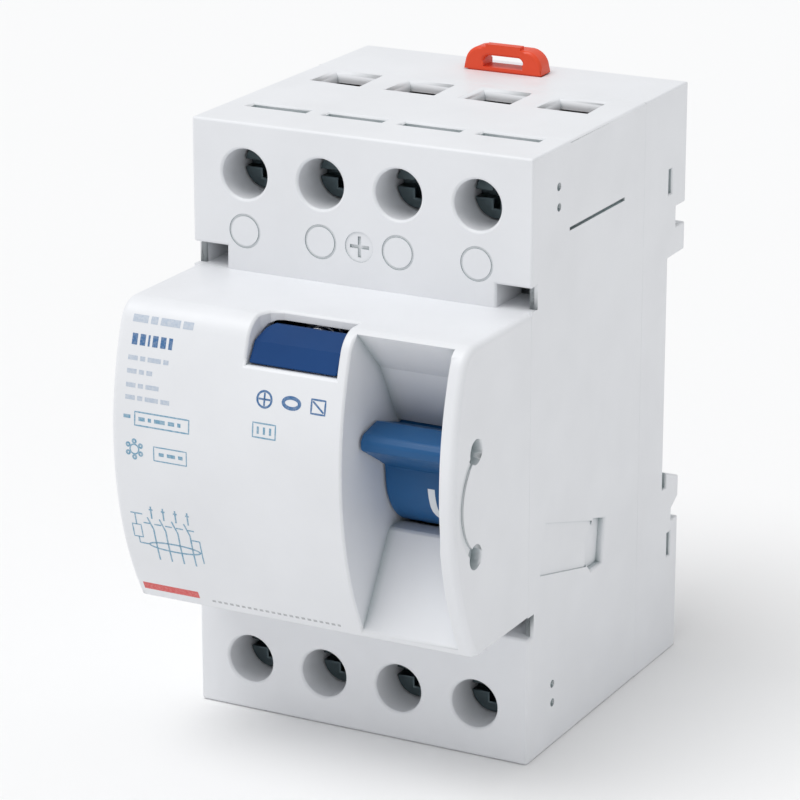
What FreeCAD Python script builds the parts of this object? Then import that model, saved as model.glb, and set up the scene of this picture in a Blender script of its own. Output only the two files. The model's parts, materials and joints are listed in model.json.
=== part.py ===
import FreeCAD, Part
import Sketcher
import math
import os
import re

# A four-pole residual current device, three modules wide, for a 35 mm rail.
# Row frame: origin at the centre of the rail seat face, +X to the right seen from the front,
# +Y to the rear (into the rail), +Z up. Millimetres and degrees.

DIMENSIONS = {
    # housing outline
    "half_width": 26.5,
    "top_z": 43.0,
    "bottom_z": -45.0,
    "shoulder_y": -46.0,
    "seam_y": -9.0,
    "rear_y": 6.0,
    "wall": 1.6,
    # poles and terminals
    "pole_pitch": 12.1,
    "line_screw_z": 35.6,
    "load_screw_z": -37.2,
    "screw_hole_r": 3.6,
    "chamber_front_y": -34.2,
    "chamber_half_width": 5.1,
    "cavity_half_width": 24.9,
    "cavity_top_z": 20.4,
    "cavity_bottom_z": -21.4,
    "divider": 2.2,
    "wire_entry_half": 3.5,
    "wire_entry_front_y": -18.8,
    "wire_entry_rear_y": -12.2,
    "fork_half": 4.65,
    "fork_front_y": -36.9,
    "fork_rear_y": -34.7,
    "fork_depth": 2.6,
    "notch_inner_x": 21.1,
    "notch_outer_x": 25.3,
    "notch_high": 3.3,
    "notch_depth": 8.0,
    "step_depth": 1.5,
    "mark_z": 27.4,
    "mark_r": 2.5,
    "mark_depth": 0.15,
    # terminal screw and lift clamp
    "screw_head_r": 3.35,
    "screw_head_front_y": -40.0,
    "screw_head_rear_y": -34.5,
    "screw_slot_depth": 2.0,
    "screw_shank_r": 2.5,
    "screw_tip_y": -20.05,
    "clamp_bore_r": 2.55,
    "clamp_half_width": 4.6,
    "clamp_half_height": 5.4,
    "clamp_front_y": -27.5,
    "clamp_nut_y": -25.0,
    "clamp_jaw_y": -12.0,
    "clamp_rear_y": -10.5,
    # copper straps
    "strap_front_y": -20.0,
    "strap_rear_y": -18.5,
    "strap_half_width": 3.2,
    # rail recess
    "seat_half": 15.6,
    "hook_gap_y": 1.3,
    "hook_tip_z": -15.9,
    "undercut_z": -18.2,
    "hook_slope_z": -17.6,
    "hook_low_z": -20.8,
    "upper_block_z": 17.8,
    "upper_hook_z": 22.0,
    "notch_top_z": 25.0,
    "relief": 0.2,
    # nose of the front cover
    "nose_top_z": 21.6,
    "nose_bottom_z": -22.7,
    "nose_front_y": -69.2,
    "clear_y": -74.0,
    "nose_radius": 50.0,
    "crown_z": 2.3,
    "nose_wall": 1.7,
    "cheek": 2.3,
    # toggle recess
    "recess_left_x": 9.6,
    "recess_right_x": 24.2,
    "web": 1.2,
    "track_y": -58.4,
    "track_z": -0.7,
    "track_r": 8.5,
    # toggle
    "pivot_y": -48.2,
    "pivot_z": -0.5,
    "drum_r": 9.0,
    "drum_top_r": 7.6,
    "drum_gap": 0.4,
    "toggle_left_x": 9.9,
    "toggle_right_x": 23.9,
    "throw_half": 21.0,
    "axle_r": 1.25,
    "crank_radius": 6.0,
    "crank_pin_r": 1.0,
    # contacts
    "contact_top_z": 4.1,
    "line_contact_y": -24.5,
    "load_contact_y": -35.5,
    "carrier_y": -30.0,
    # summation transformer
    "ring_y": -14.0,
    "ring_top_z": -7.4,
    "ring_bottom_z": -16.4,
    "ring_outer_r": 10.5,
    "ring_inner_r": 6.2,
    "pole_wire_r": 0.9,
    "pole_wire_pitch": 3.2,
    # trip lever
    "trip_y": -42.5,
    "trip_z": -13.0,
    # test button
    "window_left_x": -6.0,
    "window_right_x": 8.0,
    "window_bottom_z": 15.4,
    "window_top_z": 20.3,
    "window_rear_y": -60.6,
    "window_corner": 1.5,
    "button_x": 1.2,
    "button_z": 17.4,
    "button_gap": 0.25,
    # rail clip
    "clip_half": 5.95,
    "clip_tab_half": 6.25,
    "clip_tab_top_z": 47.0,
    "ridge": 0.45,
}

POLES = (1, 2, 3, 4)
DRUM_STEP = 150  # where the drum's two radii meet, in degrees about the pivot from +Y
TRACK_TURN = 61
PLANE_OF = {"XY": "XY_Plane", "XZ": "XZ_Plane", "YZ": "YZ_Plane"}
TURN_OF_AXIS = {
    "X": FreeCAD.Rotation(FreeCAD.Vector(0, 1, 0), 90),
    "Y": FreeCAD.Rotation(FreeCAD.Vector(1, 0, 0), -90),
    "Z": FreeCAD.Rotation(),
}

doc = FreeCAD.newDocument("residual_current_device")
sheet = doc.addObject("Spreadsheet::Sheet", "Dims")
for row, (alias, number) in enumerate(DIMENSIONS.items(), start=1):
    sheet.set(f"A{row}", alias)
    sheet.set(f"B{row}", str(number))
    sheet.setAlias(f"B{row}", alias)
doc.recompute()

nodes = []


# ---------------------------------------------------------------- helpers

def formula(text):
    """Turn plain names such as half_width into references to the sheet."""
    return re.sub(r"[a-z][a-z_]*[a-z]", lambda m: sheet_name(m.group(0)), str(text))


def sheet_name(word):
    return f"Dims.{word}" if word in DIMENSIONS else word


def size(text):
    """The present value of a formula."""
    return float(sheet.evalExpression(formula(text)))


def bind(thing, **formulas):
    for path, text in formulas.items():
        thing.setExpression(path.replace("__", "."), formula(text))


def node(thing, name):
    """Mark an object as one piece of the device."""
    thing.Label = name
    nodes.append(thing)
    return thing


def pole_x(pole):
    return f"pole_pitch * {pole - 2.5}"


# Part primitives between two corners, or along an axis from a start point.

def box(name, low, high):
    thing = doc.addObject("Part::Box", name)
    for side, axis, a, b in zip(("Length", "Width", "Height"), "xyz", low, high):
        thing.setExpression(side, formula(f"({b}) - ({a})"))
        thing.setExpression(f"Placement.Base.{axis}", formula(a))
    return thing


def cylinder(name, start, axis, radius, length):
    thing = doc.addObject("Part::Cylinder", name)
    thing.Placement.Rotation = TURN_OF_AXIS[axis]
    for letter, text in zip("xyz", start):
        thing.setExpression(f"Placement.Base.{letter}", formula(text))
    bind(thing, Radius=radius, Height=length)
    return thing


def fuse(name, *things):
    thing = doc.addObject("Part::MultiFuse", name)
    thing.Shapes = list(things)
    thing.Refine = True
    return thing


def cut(name, base, *tools):
    thing = doc.addObject("Part::Cut", name)
    thing.Base = base
    thing.Tool = tools[0] if len(tools) == 1 else fuse(name + "_tools", *tools)
    return thing


def group(name, *things):
    """Separate solids kept in one node."""
    thing = doc.addObject("Part::Compound", name)
    thing.Links = list(things)
    return thing


def coil(name, start, axis, radius, wire, length, turns):
    """A round-wire helical spring that starts at a point and runs along an axis."""
    helix = doc.addObject("Part::Helix", name + "_path")
    helix.Placement.Rotation = TURN_OF_AXIS[axis]
    for letter, text in zip("xyz", start):
        helix.setExpression(f"Placement.Base.{letter}", formula(text))
    bind(helix, Radius=radius, Height=length, Pitch=f"({length}) / {turns}")
    section = doc.addObject("Part::Circle", name + "_wire")
    bind(section, Radius=wire)
    first = FreeCAD.Vector(size(radius), 0, 0)
    turned = TURN_OF_AXIS[axis].multVec(first)
    upright = TURN_OF_AXIS[axis].multiply(FreeCAD.Rotation(FreeCAD.Vector(1, 0, 0), 90))
    section.Placement = FreeCAD.Placement(turned, upright)
    for letter, text, shift in zip("xyz", start, turned):
        section.setExpression(f"Placement.Base.{letter}", formula(f"({text}) + {shift}"))
    spring = doc.addObject("Part::Sweep", name)
    spring.Sections = [section]
    spring.Spine = (helix, [])
    spring.Solid = True
    spring.Frenet = True
    return spring


def rod(name, points, radius):
    """A round wire through a few points, with round elbows."""
    corners = [FreeCAD.Vector(*(size(text) for text in point)) for point in points]
    thick = size(radius)
    pieces = []
    for a, b in zip(corners, corners[1:]):
        pieces.append(Part.makeCylinder(thick, a.distanceToPoint(b), a, b - a))
    for corner in corners[1:-1]:
        pieces.append(Part.makeSphere(thick, corner))
    thing = doc.addObject("Part::Feature", name)
    thing.Shape = pieces[0].fuse(pieces[1:]).removeSplitter()
    return thing


# PartDesign: sketches on a body's own origin planes, pads and pockets.

def new_body(name):
    return node(doc.addObject("PartDesign::Body", name), name)


def sketch(body, plane, at, *loops):
    """Closed loops on a plane parallel to an origin plane, at a place along its row axis."""
    thing = body.newObject("Sketcher::SketchObject", body.Name + "_outline")
    role = PLANE_OF[plane]
    origin = [face for face in body.Origin.OriginFeatures if face.Role == role][0]
    thing.AttachmentSupport = [(origin, "")]
    thing.MapMode = "FlatFace"
    sign = "-" if plane == "XZ" else ""
    thing.setExpression("AttachmentOffset.Base.z", formula(f"{sign}({at})"))
    for loop in loops:
        if len(loop) == 3 and not isinstance(loop[0], tuple):
            add_circle(thing, *loop)
        else:
            add_polygon(thing, loop)
    return thing


def pin(thing, element, point, u, v):
    """Fix one point of a sketch at a pair of formulas, or along one axis if the other is None."""
    for kind, text in (("DistanceX", u), ("DistanceY", v)):
        if text is None:
            continue
        number = thing.addConstraint(Sketcher.Constraint(kind, -1, 1, element, point, size(text)))
        thing.setExpression(f"Constraints[{number}]", formula(text))


def add_circle(thing, u, v, radius):
    centre = FreeCAD.Vector(size(u), size(v), 0)
    shape = Part.Circle(centre, FreeCAD.Vector(0, 0, 1), size(radius))
    element = thing.addGeometry(shape, False)
    pin(thing, element, 3, u, v)
    number = thing.addConstraint(Sketcher.Constraint("Radius", element, size(radius)))
    thing.setExpression(f"Constraints[{number}]", formula(radius))


def add_polygon(thing, points):
    corners = [FreeCAD.Vector(size(u), size(v), 0) for u, v in points]
    following = corners[1:] + corners[:1]
    elements = [
        thing.addGeometry(Part.LineSegment(a, b), False) for a, b in zip(corners, following)
    ]
    for element, after in zip(elements, elements[1:] + elements[:1]):
        thing.addConstraint(Sketcher.Constraint("Coincident", element, 2, after, 1))
    for element, (u, v) in zip(elements, points):
        pin(thing, element, 1, u, v)


def rectangle(u_low, v_low, u_high, v_high):
    return ((u_low, v_low), (u_high, v_low), (u_high, v_high), (u_low, v_high))


def add_sector(thing, radius, start, end):
    """A pie slice about the toggle's pivot, between two angles in degrees."""
    centre = FreeCAD.Vector(size("pivot_y"), size("pivot_z"), 0)
    rim = []
    for degrees in (start, (start + end) / 2, end):
        turn = math.radians(degrees)
        rim.append(centre + FreeCAD.Vector(math.cos(turn), math.sin(turn), 0) * size(radius))
    arc = thing.addGeometry(Part.Arc(*rim), False)
    inward = thing.addGeometry(Part.LineSegment(rim[2], centre), False)
    outward = thing.addGeometry(Part.LineSegment(centre, rim[0]), False)
    thing.addConstraint(Sketcher.Constraint("Coincident", arc, 2, inward, 1))
    thing.addConstraint(Sketcher.Constraint("Coincident", inward, 2, outward, 1))
    thing.addConstraint(Sketcher.Constraint("Coincident", outward, 2, arc, 1))
    pin(thing, arc, 3, "pivot_y", "pivot_z")
    pin(thing, outward, 1, "pivot_y", "pivot_z")
    pin(thing, outward, 2, f"pivot_y + ({radius}) * cos({start})",
        f"pivot_z + ({radius}) * sin({start})")
    pin(thing, inward, 1, None, f"pivot_z + ({radius}) * sin({end})")


def pad(body, outline, length, backwards=False, both_ways=False):
    thing = body.newObject("PartDesign::Pad", body.Name + "_pad")
    thing.Profile = outline
    bind(thing, Length=length)
    thing.Reversed = backwards
    if both_ways:
        thing.SideType = "Symmetric"
    doc.recompute()
    return thing


def pocket(body, outline, length, backwards=False, both_ways=False):
    before = body.Shape.Volume
    thing = body.newObject("PartDesign::Pocket", body.Name + "_pocket")
    thing.Profile = outline
    bind(thing, Length=length)
    thing.Reversed = backwards
    if both_ways:
        thing.SideType = "Symmetric"
    doc.recompute()
    if body.Shape.Volume > before - 0.01:
        raise ValueError(f"{thing.Name} cuts nothing")
    return thing


def round_edges(body, radius, chosen):
    """Fillet the edges of a body that a test picks by their middle point."""
    tip = body.Tip
    names = []
    for number, edge in enumerate(tip.Shape.Edges, start=1):
        middle = edge.valueAt((edge.FirstParameter + edge.LastParameter) / 2)
        if chosen(middle, edge):
            names.append(f"Edge{number}")
    if not names:
        raise ValueError(f"{body.Name} has no such edge")
    thing = body.newObject("PartDesign::Fillet", body.Name + "_round")
    thing.Base = (tip, names)
    bind(thing, Radius=radius)
    doc.recompute()
    return thing


def near(a, b, slack=0.05):
    return abs(a - b) < slack


# ---------------------------------------------------------------- rear shell with the rail recess

def make_base_housing():
    body = new_body("base_housing")
    side = sketch(body, "YZ", 0, (
        ("seam_y", "bottom_z"), ("rear_y", "bottom_z"), ("rear_y", "-24"), ("3.6", "-24"),
        ("3.6", "-22.2"), ("rear_y", "hook_low_z"), ("rear_y", "hook_slope_z"),
        ("hook_gap_y", "hook_tip_z"), ("hook_gap_y", "undercut_z"), ("-relief", "undercut_z"),
        ("-relief", "-seat_half"), ("0", "-seat_half"), ("0", "seat_half"),
        ("-relief", "seat_half"), ("-relief", "upper_block_z"), ("rear_y", "upper_block_z"),
        ("rear_y", "upper_hook_z"), ("2.7", "upper_hook_z"), ("2.7", "notch_top_z"),
        ("rear_y", "notch_top_z"), ("rear_y", "top_z"), ("seam_y", "top_z"),
    ))
    pad(body, side, "2 * half_width", both_ways=True)
    tray = sketch(body, "XZ", "seam_y", rectangle(
        "-cavity_half_width", "-20", "cavity_half_width", "20"))
    pocket(body, tray, "6.4")
    cores = []
    for low, high in (("27", "top_z - 1.8"), ("bottom_z + 1.8", "-26")):
        cores.append(rectangle("8.2", low, "24.7", high))
        cores.append(rectangle("-24.7", low, "-8.2", high))
    pocket(body, sketch(body, "XZ", "rear_y", *cores), "12", backwards=True)
    channel = sketch(body, "XY", "top_z", rectangle("-6.2", "-1.4", "6.2", "1.2"))
    pocket(body, channel, "top_z - upper_block_z + 0.5")
    nose_room = sketch(body, "XZ", "rear_y", rectangle("-6.2", "17", "6.2", "28"))
    pocket(body, nose_room, "rear_y + 1.4", backwards=True)
    peg = sketch(body, "XZ", "-1.5", rectangle("-1.6", "34.5", "1.6", "36.5"))
    pad(body, peg, "2.8", backwards=True)
    for edge in ("half_width", "-half_width"):
        slots = sketch(body, "YZ", edge, rectangle("-0.2", "25.4 + 2", "1.0", "29.1 + 2"),
                       rectangle("2.2", "-29.5", "3.4", "-25.8"))
        pocket(body, slots, "2.2", backwards=edge.startswith("-"))


# ---------------------------------------------------------------- middle shell with the terminals

def make_housing_body():
    body = new_body("housing_body")
    block = sketch(body, "XZ", "shoulder_y", rectangle(
        "-half_width", "bottom_z", "half_width", "top_z"))
    pad(body, block, "seam_y - shoulder_y", backwards=True)
    fronts = sketch(
        body, "XZ", "shoulder_y",
        rectangle("-half_width - 1", "nose_top_z", "half_width + 1", "top_z + 1"),
        rectangle("-half_width - 1", "bottom_z - 1", "half_width + 1", "nose_bottom_z"))
    pocket(body, fronts, "chamber_front_y - shoulder_y")
    cavity = sketch(body, "XZ", "shoulder_y", rectangle(
        "-cavity_half_width", "cavity_bottom_z", "cavity_half_width", "cavity_top_z"))
    pocket(body, cavity, "seam_y - shoulder_y")
    chambers, entries, strap_slots = [], [], []
    for pole in POLES:
        x = pole_x(pole)
        left = f"{x} - chamber_half_width"
        right = f"{x} + chamber_half_width"
        chambers.append(rectangle(left, "cavity_top_z + divider", right, "top_z - wall"))
        chambers.append(rectangle(left, "bottom_z + wall", right, "cavity_bottom_z - divider"))
        entries.append(rectangle(f"{x} - wire_entry_half", "wire_entry_front_y",
                                 f"{x} + wire_entry_half", "wire_entry_rear_y"))
        strap_slots.append(rectangle(f"{x} - strap_half_width - 0.2", "strap_front_y - 0.2",
                                     f"{x} + strap_half_width + 0.2", "strap_rear_y + 0.2"))
    pocket(body, sketch(body, "XZ", "seam_y", *chambers), "seam_y - chamber_front_y",
           backwards=True)
    pocket(body, sketch(body, "XY", "top_z", *entries), "wall + 0.5")
    pocket(body, sketch(body, "XY", "bottom_z", *entries), "wall + 0.5", backwards=True)
    pocket(body, sketch(body, "XY", "0", *strap_slots), "52", both_ways=True)
    for edge in ("half_width", "-half_width"):
        line = sketch(body, "YZ", edge, rectangle("chamber_front_y", "30.25", "-15.9", "30.75"))
        pocket(body, line, "0.6", backwards=edge.startswith("-"))
    slant = sketch(body, "YZ", "half_width", (
        ("-24.7", "-14.7"), ("-20.7", "-16"), ("-21.5", "-22.5"), ("-25.2", "-22.5"),
        ("-26.9", "-21.2"), ("-27.1", "-17.5")))
    pocket(body, slant, "1")
    inlay = sketch(body, "YZ", "half_width", (
        ("-40.7", "-10.3"), ("-25.2", "-14.9"), ("-27", "-21.4"), ("-42.3", "-17.7")))
    pocket(body, inlay, "0.2")
    soften_entries(body)


def soften_entries(body):
    """Round the left and rear edges of the wire entries, where the wires are led in."""
    lefts = [size(pole_x(pole) + " - wire_entry_half") for pole in POLES]
    rear = size("wire_entry_rear_y")
    front = size("wire_entry_front_y")

    def lead_in(p, e):
        if not (near(p.z, size("top_z")) or near(p.z, size("bottom_z"))):
            return False
        on_left = any(near(p.x, left) for left in lefts) and near(p.y, (front + rear) / 2)
        on_rear = near(p.y, rear) and near(e.Length, size("2 * wire_entry_half"))
        return on_left or on_rear

    round_edges(body, "1.2", lead_in)


def make_terminal_front(name, inner, outer, screw_z, away):
    """A thick front wall with four screw holes, which closes one row of terminal chambers."""
    body = new_body(name)
    wall = sketch(body, "XZ", "shoulder_y", rectangle("-half_width", inner, "half_width", outer))
    pad(body, wall, "chamber_front_y - shoulder_y", backwards=True)
    holes = [(pole_x(pole), screw_z, "screw_hole_r") for pole in POLES]
    pocket(body, sketch(body, "XZ", "shoulder_y", *holes), "chamber_front_y - shoulder_y + 1")
    fork_slots = []
    for pole in POLES:
        x = pole_x(pole)
        fork_slots.append(rectangle(f"{x} - fork_half", "fork_front_y",
                                    f"{x} + fork_half", "fork_rear_y"))
    pocket(body, sketch(body, "XY", outer, *fork_slots), "fork_depth", backwards=away == "-")
    notch_end = f"{inner} {away} notch_high"
    notches = [rectangle("notch_inner_x", inner, "notch_outer_x", notch_end),
               rectangle("-notch_outer_x", inner, "-notch_inner_x", notch_end)]
    pocket(body, sketch(body, "XZ", "shoulder_y", *notches), "notch_depth")
    steps = [rectangle("notch_outer_x - 0.3", inner, "half_width + 1", notch_end),
             rectangle("-half_width - 1", inner, "-notch_outer_x + 0.3", notch_end)]
    pocket(body, sketch(body, "XZ", "shoulder_y", *steps), "step_depth")
    for edge in ("half_width", "-half_width"):
        dots = sketch(body, "YZ", edge, ("-37.8", f"{screw_z} + 1.7", "0.6"),
                      ("-37.7", f"{screw_z} - 1.2", "0.6"))
        pocket(body, dots, "0.6", backwards=edge.startswith("-"))
    return body


def mark_upper_front(body):
    """A ring under each upper screw hole, and a cross in a shallow disc between the middle two."""
    rings = []
    for pole in POLES:
        for radius in ("mark_r", "mark_r - 0.35"):
            rings.append((pole_x(pole), "mark_z", radius))
    pocket(body, sketch(body, "XZ", "shoulder_y", *rings), "mark_depth")
    dimple = sketch(body, "XZ", "shoulder_y", ("0", "mark_z", "mark_r - 0.3"))
    pocket(body, dimple, "mark_depth")
    for long, high in (("1.5", "0.25"), ("0.25", "1.5")):
        cross = sketch(body, "XZ", "shoulder_y + mark_depth", rectangle(
            f"-{long}", f"mark_z - {high}", long, f"mark_z + {high}"))
        pocket(body, cross, "0.25")


# ---------------------------------------------------------------- bowed nose

def nose_sketch(body, at, inset, front_inset):
    """Nose profile: flat top and underside, and a front that is one large arc."""
    thing = sketch(body, "YZ", at)
    top = f"nose_top_z - ({inset})"
    low = f"nose_bottom_z + ({inset})"
    radius = f"nose_radius - ({front_inset})"
    centre_y = size("nose_front_y + nose_radius")
    centre_z = size("crown_z")
    back = size("shoulder_y")
    reach = size(radius)
    upper = FreeCAD.Vector(centre_y - math.sqrt(reach**2 - (size(top) - centre_z)**2), size(top), 0)
    lower = FreeCAD.Vector(centre_y - math.sqrt(reach**2 - (size(low) - centre_z)**2), size(low), 0)
    crown = FreeCAD.Vector(centre_y - reach, centre_z, 0)
    arc = thing.addGeometry(Part.Arc(upper, crown, lower), False)
    corner_low = FreeCAD.Vector(back, size(low), 0)
    corner_top = FreeCAD.Vector(back, size(top), 0)
    floor = thing.addGeometry(Part.LineSegment(lower, corner_low), False)
    rear = thing.addGeometry(Part.LineSegment(corner_low, corner_top), False)
    roof = thing.addGeometry(Part.LineSegment(corner_top, upper), False)
    thing.addConstraint(Sketcher.Constraint("Coincident", arc, 1, roof, 2))
    thing.addConstraint(Sketcher.Constraint("Coincident", arc, 2, floor, 1))
    thing.addConstraint(Sketcher.Constraint("Coincident", floor, 2, rear, 1))
    thing.addConstraint(Sketcher.Constraint("Coincident", rear, 2, roof, 1))
    thing.addConstraint(Sketcher.Constraint("Horizontal", floor))
    thing.addConstraint(Sketcher.Constraint("Horizontal", roof))
    pin(thing, rear, 1, "shoulder_y", low)
    pin(thing, rear, 2, "shoulder_y", top)
    pin(thing, arc, 3, "nose_front_y + nose_radius", "crown_z")
    number = thing.addConstraint(Sketcher.Constraint("Radius", arc, reach))
    thing.setExpression(f"Constraints[{number}]", formula(radius))
    return thing


def make_front_cover():
    body = new_body("front_cover")
    pad(body, nose_sketch(body, "0", "0", "0"), "2 * half_width", both_ways=True)
    round_edges(body, "4", lambda p, e: near(p.z, size("nose_top_z")) and p.y < -60
                and near(p.x, 0, 1))
    half = size("half_width")
    round_edges(body, "1", lambda p, e: near(abs(p.x), half) and p.y < -60 and e.Length > 3)
    inner = nose_sketch(body, "-half_width + cheek", "nose_wall", "nose_wall")
    pocket(body, inner, "recess_left_x - web + half_width - cheek", backwards=True)
    cut_toggle_recess(body)
    cut_button_window(body)
    cut_track(body)
    tongues = []
    for low, high in (("12", "18"), ("-19", "-13")):
        tongues.append(rectangle("23.5", low, "24.8", high))
        tongues.append(rectangle("-24.8", low, "-23.5", high))
    pad(body, sketch(body, "XZ", "shoulder_y - 2", *tongues), "6", backwards=True)


def cut_toggle_recess(body):
    """The open recess, the hollow behind its walls, the drum's room and the axle's bearings."""
    width = "recess_right_x - recess_left_x"
    recess = sketch(body, "YZ", "recess_left_x", (
        ("clear_y", "24"), ("-67.3", "24"), ("-57.8", "14.8"), ("-52.6", "5.6"), ("-50.5", "5.6"),
        ("-50.5", "-9"), ("-55.2", "-9.1"), ("-65", "-25"), ("clear_y", "-25")))
    pocket(body, recess, width, backwards=True)
    behind = sketch(body, "YZ", "recess_left_x", (
        ("shoulder_y", "nose_top_z - nose_wall"), ("-60.2", "nose_top_z - nose_wall"),
        ("-56.2", "14.6"), ("-51.4", "6.6"), ("-50", "6.6"), ("-50", "-10.6"), ("-54.1", "-10.6"),
        ("-60.7", "nose_bottom_z + nose_wall"), ("shoulder_y", "nose_bottom_z + nose_wall")))
    pocket(body, behind, width, backwards=True)
    drum_room = sketch(body, "YZ", "recess_left_x", ("pivot_y", "pivot_z", "drum_top_r + 0.3"))
    pocket(body, drum_room, width, backwards=True)
    sweep = sketch(body, "YZ", "recess_left_x")
    add_sector(sweep, "drum_r + drum_gap", DRUM_STEP - 3, 270 + size("throw_half") + 4)
    pocket(body, sweep, width, backwards=True)
    bearing = sketch(body, "YZ", "recess_left_x - web - 1", ("pivot_y", "pivot_z", "axle_r + 0.05"))
    pocket(body, bearing, width + " + web + 2.4", backwards=True)


def cut_button_window(body):
    """The window with one cut corner, its notch in the nose's top, and the button's guide."""
    corner_wall = sketch(body, "XZ", "-59.5", rectangle("-8", "17", "-3.4", "20.2"))
    pad(body, corner_wall, "6")
    window = sketch(body, "XZ", "clear_y", (
        ("window_left_x", "window_bottom_z"), ("window_right_x", "window_bottom_z"),
        ("window_right_x", "window_top_z"), ("window_left_x + window_corner", "window_top_z"),
        ("window_left_x + 0.3 * window_corner", "window_top_z - 0.3 * window_corner"),
        ("window_left_x", "window_top_z - window_corner")))
    pocket(body, window, "15")
    brow = sketch(body, "XY", "nose_top_z", (
        ("window_left_x", "clear_y"), ("window_right_x", "clear_y"),
        ("window_right_x", "window_rear_y"), ("window_left_x + 2.4", "window_rear_y"),
        ("window_left_x + 0.7", "window_rear_y - 0.8"), ("window_left_x", "window_rear_y - 2.6")))
    pocket(body, brow, "nose_top_z - window_bottom_z")
    shelf = sketch(body, "XZ", "-53", rectangle("-4.5", "12.2", "7", "nose_top_z - nose_wall + 0.5"))
    pad(body, shelf, "1.4", backwards=True)
    stem_hole = sketch(body, "XZ", "-53.5", ("button_x", "button_z", "1.6"))
    pocket(body, stem_hole, "3")


def cut_track(body):
    """A curved groove between two round recesses on the right cheek."""
    track = sketch(body, "XY", "track_z", rectangle(
        "half_width - 0.3", "track_y - track_r - 0.6", "half_width + 1", "track_y - track_r + 0.6"))
    axis = track.addGeometry(Part.LineSegment(
        FreeCAD.Vector(0, size("track_y"), 0), FreeCAD.Vector(10, size("track_y"), 0)), True)
    pin(track, axis, 1, "0", "track_y")
    pin(track, axis, 2, "10", "track_y")
    before = body.Shape.Volume
    groove = body.newObject("PartDesign::Groove", "front_cover_track")
    groove.Profile = track
    groove.ReferenceAxis = (track, ["Axis0"])
    groove.Angle = 2 * TRACK_TURN
    groove.Midplane = True
    doc.recompute()
    if body.Shape.Volume > before - 1:
        raise ValueError("the track groove cuts nothing")
    ends = []
    for turn in (TRACK_TURN, -TRACK_TURN):
        ends.append((f"track_y - track_r * cos({turn})", f"track_z + track_r * sin({turn})", "1.8"))
    pocket(body, sketch(body, "YZ", "half_width", *ends), "1.5")


# ---------------------------------------------------------------- toggle and its drive

def make_toggle():
    body = new_body("toggle_handle")
    left = "toggle_left_x"
    width = "toggle_right_x - toggle_left_x"
    tilt = size("throw_half")
    sectors = (("drum_top_r", 90 - tilt, DRUM_STEP), ("drum_r", DRUM_STEP, 270 - tilt))
    for radius, start, end in sectors:
        drum = sketch(body, "YZ", left)
        add_sector(drum, radius, start, end)
        pad(body, drum, width)
    lever = sketch(body, "YZ", left, (
        ("-64.3", "4.9"), ("-64.3", "6.1"), ("-63.6", "7"), ("-59.8", "7.8"), ("-52.9", "5.6"),
        ("-50", "0.7"), ("-57.1", "0.7")))
    pad(body, lever, width)
    pad(body, sketch(body, "YZ", left, ("pivot_y", "pivot_z", "3.2")), "6.6")
    crank = sketch(body, "YZ", "14.2", (
        ("pivot_y - 2.5", "pivot_z - 1.8"), ("-42", "-4.7"), ("-40.9", "-3.4"),
        ("-41.8", "-1.2"), ("pivot_y + 0.6", "pivot_z + 2.9")))
    pad(body, crank, "2")
    spring_room = sketch(body, "YZ", "16.7", ("pivot_y", "pivot_z", "3.6"))
    pocket(body, spring_room, "5.6", backwards=True)
    bore = sketch(body, "YZ", left, ("pivot_y", "pivot_z", "axle_r + 0.05"))
    pocket(body, bore, width, backwards=True)
    pin_y = "pivot_y + crank_radius * cos(throw_half)"
    pin_z = "pivot_z - crank_radius * sin(throw_half)"
    pocket(body, sketch(body, "YZ", "14", (pin_y, pin_z, "crank_pin_r")), "3", backwards=True)
    node(cylinder("crank_pin", ("10.2", pin_y, pin_z), "X", "crank_pin_r", "6"), "crank_pin")
    axle = cylinder("toggle_axle", ("recess_left_x - web", "pivot_y", "pivot_z"), "X", "axle_r",
                    "recess_right_x - recess_left_x + web + 1")
    node(axle, "toggle_axle")
    node(coil("toggle_spring", ("17.2", "pivot_y", "pivot_z"), "X", "2.4", "0.35", "4.4", 5),
         "toggle_spring")


# ---------------------------------------------------------------- contacts, one set for each pole

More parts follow.
